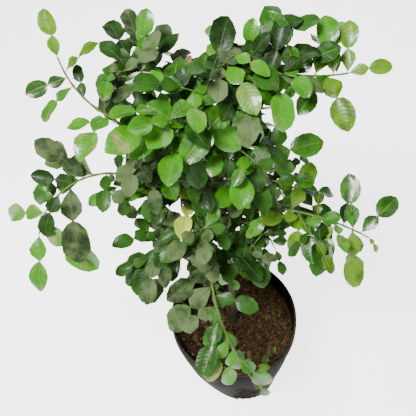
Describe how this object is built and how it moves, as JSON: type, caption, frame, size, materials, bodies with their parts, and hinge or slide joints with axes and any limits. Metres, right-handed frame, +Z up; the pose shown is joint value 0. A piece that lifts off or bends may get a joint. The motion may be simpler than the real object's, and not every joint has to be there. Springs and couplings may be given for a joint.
{
  "type": "potted kaffir lime tree",
  "caption": "Young kaffir lime tree with double-lobed leaves on arching shoots, growing in a round black grow bag of dark coir soil.",
  "frame": {"origin": "on the flat underside of the grow bag, straight below the centre of its rim", "axes": "+Z up; -Y towards the side the picture shows; +X to the right as seen from there"},
  "size_m": [0.5522, 0.4903, 0.7068],
  "materials": {
    "grow_bag": "matt black film with folds and dust",
    "soil": "loose coarse coir and bark",
    "bark": "fine-grained bark",
    "green_wood": "smooth green bark",
    "foliage_young": "glossy young leaves",
    "foliage_fresh": "glossy leaves",
    "foliage_mature": "half-gloss old leaves",
    "foliage_dusty": "dusty leaves"
  },
  "bodies": {
    "root": {"grow_bag": "grow_bag", "soil": "soil", "trunk": "bark", "leader": "bark", "bough_left": "green_wood", "bough_lower_left": "green_wood", "bough_back_left": "green_wood", "bough_back": "green_wood", "bough_back_right": "green_wood", "bough_lower_right": "green_wood", "bough_front": "green_wood", "bough_lower_centre": "green_wood", "bough_inner_left": "green_wood", "bough_right": "green_wood", "bough_upper_left": "green_wood", "bough_mid_left": "green_wood", "bough_upper_right": "green_wood", "bough_centre": "green_wood", "bough_top_left": "green_wood", "bough_top": "green_wood", "bough_centre_right": "green_wood", "foliage_left": "foliage_fresh", "foliage_upper_left": "foliage_young", "foliage_mid_left": "foliage_dusty", "foliage_upper_right": "foliage_young", "foliage_right": "foliage_fresh", "foliage_front": "foliage_dusty", "foliage_lower_left": "foliage_mature", "foliage_lower_right": "foliage_mature", "foliage_lower_centre": "foliage_dusty", "foliage_inner_left": "foliage_mature", "foliage_centre": "foliage_fresh", "foliage_centre_right": "foliage_fresh", "foliage_top_left": "foliage_dusty", "foliage_top": "foliage_mature", "foliage_back": "foliage_mature", "foliage_back_left": "foliage_mature", "foliage_back_right": "foliage_mature"}
  },
  "joints": []
}
